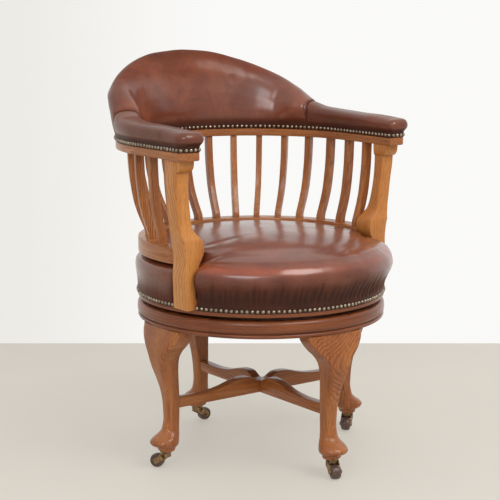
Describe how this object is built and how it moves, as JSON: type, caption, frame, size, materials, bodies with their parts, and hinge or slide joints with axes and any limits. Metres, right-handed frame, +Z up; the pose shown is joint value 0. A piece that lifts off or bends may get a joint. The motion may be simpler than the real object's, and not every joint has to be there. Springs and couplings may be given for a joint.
{
  "type": "swivel armchair",
  "caption": "Wooden swivel desk chair with a round leather seat, horseshoe padded back and arms over turned-out slats, cabriole legs with crossed stretchers, and brass casters.",
  "frame": {"origin": "on the floor, under the middle of the chair's bounding box; the swivel axis stands 28.5 mm in front of it", "axes": "+Z up, the seat faces -Y, +X to the right seen from the front looking at the back rest"},
  "size_m": [0.5818, 0.6131, 0.8422],
  "materials": {
    "oak": "waxed golden oak",
    "frame_wood": "plain, unfinished",
    "leather": "glossy hand-coloured chestnut leather",
    "brass": "aged, dark",
    "iron": "dull black",
    "wheel": "dark brown hard composition, worn",
    "webbing": "woven jute"
  },
  "bodies": {
    "base": {"leg_front": "oak", "leg_left": "oak", "leg_right": "oak", "leg_back": "oak", "caster_plate_front": "brass", "caster_plate_left": "brass", "caster_plate_right": "brass", "caster_plate_back": "brass", "stretcher_long": "oak", "stretcher_cross": "oak", "base_ring": "oak", "base_bearer": "frame_wood", "pivot_plate_lower": "iron"},
    "seat": {"pivot_plate_upper": "iron", "seat_bearer": "frame_wood", "pivot_bolt": "iron", "pivot_nut": "iron", "seat_ring": "oak", "seat_webbing": "webbing", "seat_cushion": "leather", "seat_nail_band_front": "brass", "seat_nail_band_rear": "brass", "arm_post_left": "oak", "arm_post_right": "oak", "lower_rail": "oak", "slat_01": "oak", "slat_02": "oak", "slat_03": "oak", "slat_04": "oak", "slat_05": "oak", "slat_06": "oak", "slat_07": "oak", "slat_08": "oak", "slat_09": "oak", "slat_10": "oak", "slat_11": "oak", "slat_12": "oak", "slat_13": "oak", "slat_14": "oak", "slat_15": "oak", "slat_16": "oak", "slat_17": "oak", "top_rail": "oak", "rail_nail_band": "brass", "crest_board": "frame_wood", "back_pad": "leather", "arm_pad_right": "leather", "arm_pad_left": "leather"},
    "caster_front": {"caster_fork_front": "brass", "caster_axle_front": "brass"},
    "wheel_front": {"caster_wheel_front": "wheel"},
    "caster_left": {"caster_fork_left": "brass", "caster_axle_left": "brass"},
    "wheel_left": {"caster_wheel_left": "wheel"},
    "caster_right": {"caster_fork_right": "brass", "caster_axle_right": "brass"},
    "wheel_right": {"caster_wheel_right": "wheel"},
    "caster_back": {"caster_fork_back": "brass", "caster_axle_back": "brass"},
    "wheel_back": {"caster_wheel_back": "wheel"}
  },
  "joints": [
    {"name": "seat_swivel", "type": "hinge", "parent": "base", "child": "seat", "pos_m": [0, -0.02855, 0.34], "axis": [0, 0, 1], "continuous": true},
    {"name": "caster_swivel_front", "type": "hinge", "parent": "base", "child": "caster_front", "pos_m": [0, -0.27055, 0.034], "axis": [0, 0, 1], "continuous": true},
    {"name": "wheel_spin_front", "type": "hinge", "parent": "caster_front", "child": "wheel_front", "pos_m": [-0.00706, -0.28894, 0.0145], "axis": [0.9336, -0.3584, 0], "continuous": true},
    {"name": "caster_swivel_left", "type": "hinge", "parent": "base", "child": "caster_left", "pos_m": [-0.242, -0.02855, 0.034], "axis": [0, 0, 1], "continuous": true},
    {"name": "wheel_spin_left", "type": "hinge", "parent": "caster_left", "child": "wheel_left", "pos_m": [-0.25185, -0.01149, 0.0145], "axis": [-0.866, -0.5, 0], "continuous": true},
    {"name": "caster_swivel_right", "type": "hinge", "parent": "base", "child": "caster_right", "pos_m": [0.242, -0.02855, 0.034], "axis": [0, 0, 1], "continuous": true},
    {"name": "wheel_spin_right", "type": "hinge", "parent": "caster_right", "child": "wheel_right", "pos_m": [0.22713, -0.04147, 0.0145], "axis": [0.6561, -0.7547, 0], "continuous": true},
    {"name": "caster_swivel_back", "type": "hinge", "parent": "base", "child": "caster_back", "pos_m": [0, 0.21345, 0.034], "axis": [0, 0, 1], "continuous": true},
    {"name": "wheel_spin_back", "type": "hinge", "parent": "caster_back", "child": "wheel_back", "pos_m": [0.01959, 0.21551, 0.0145], "axis": [-0.1045, 0.9945, 0], "continuous": true}
  ]
}
